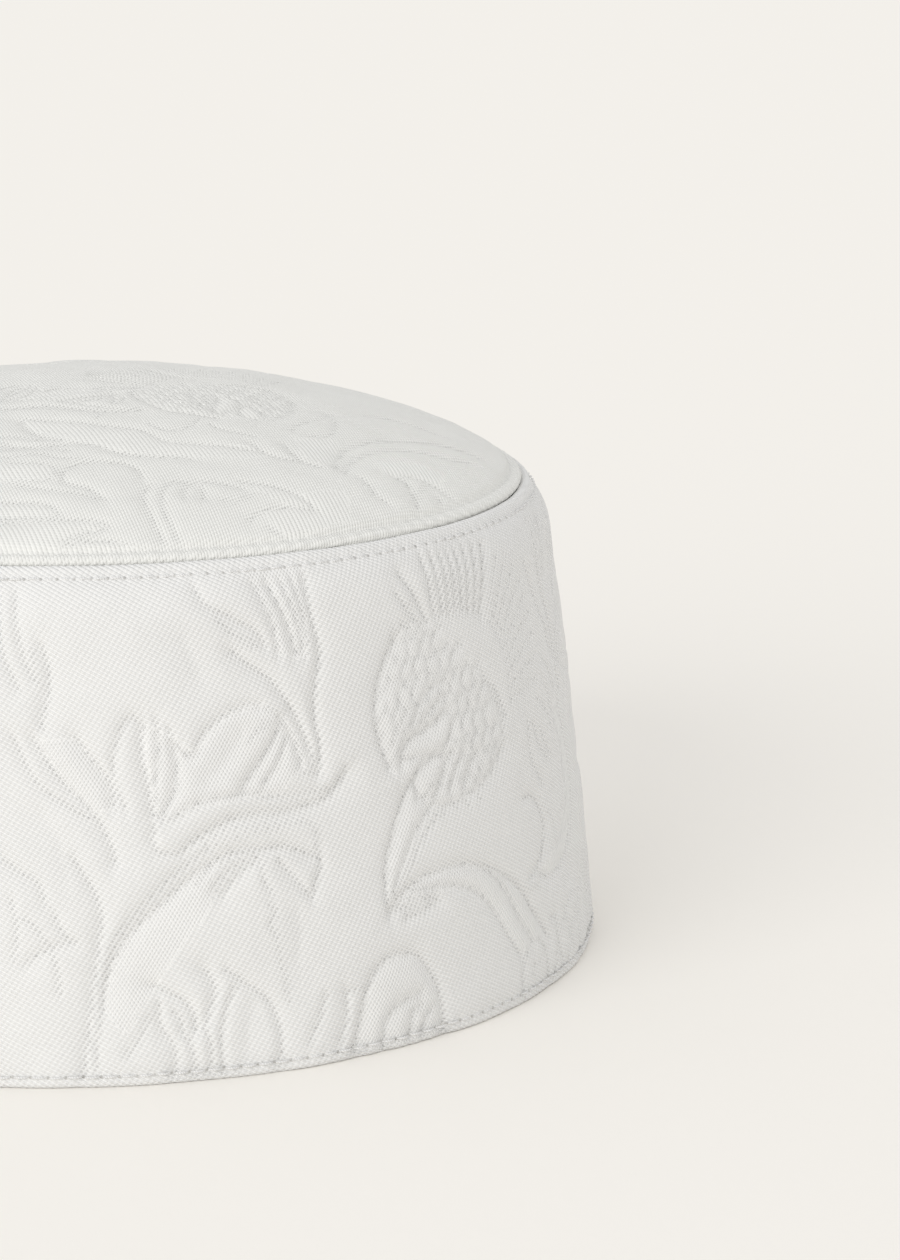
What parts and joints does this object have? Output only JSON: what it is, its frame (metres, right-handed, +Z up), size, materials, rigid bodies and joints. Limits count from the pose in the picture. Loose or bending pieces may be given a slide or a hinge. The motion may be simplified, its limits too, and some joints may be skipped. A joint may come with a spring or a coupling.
{
  "type": "kufi cap",
  "caption": "Round brimless prayer cap in white quilted jacquard, with a stiffened band, a low domed crown, a turned and topstitched crown seam and hem, a lining and a sweatband.",
  "frame": {"origin": "middle of the hem circle, on the plane that the hem stands on", "axes": "+Z up through the middle of the crown, -Y towards the front, +Y towards the centre-back seam"},
  "size_m": [0.19, 0.19, 0.1062],
  "materials": {
    "outer_cloth": "white on white quilted jacquard, soft satin weave",
    "stiffening": "matt open-weave stiffener",
    "lining_cloth": "smooth plain-weave lining",
    "sweatband_tape": "ribbed tape",
    "sewing_thread": "twisted thread"
  },
  "bodies": {
    "root": {"band_shell": "outer_cloth", "crown_shell": "outer_cloth", "band_stiffener": "stiffening", "crown_lining": "lining_cloth", "band_lining": "lining_cloth", "sweatband": "sweatband_tape", "crown_topstitch_thread": "sewing_thread", "hem_topstitch_thread": "sewing_thread"}
  },
  "joints": []
}
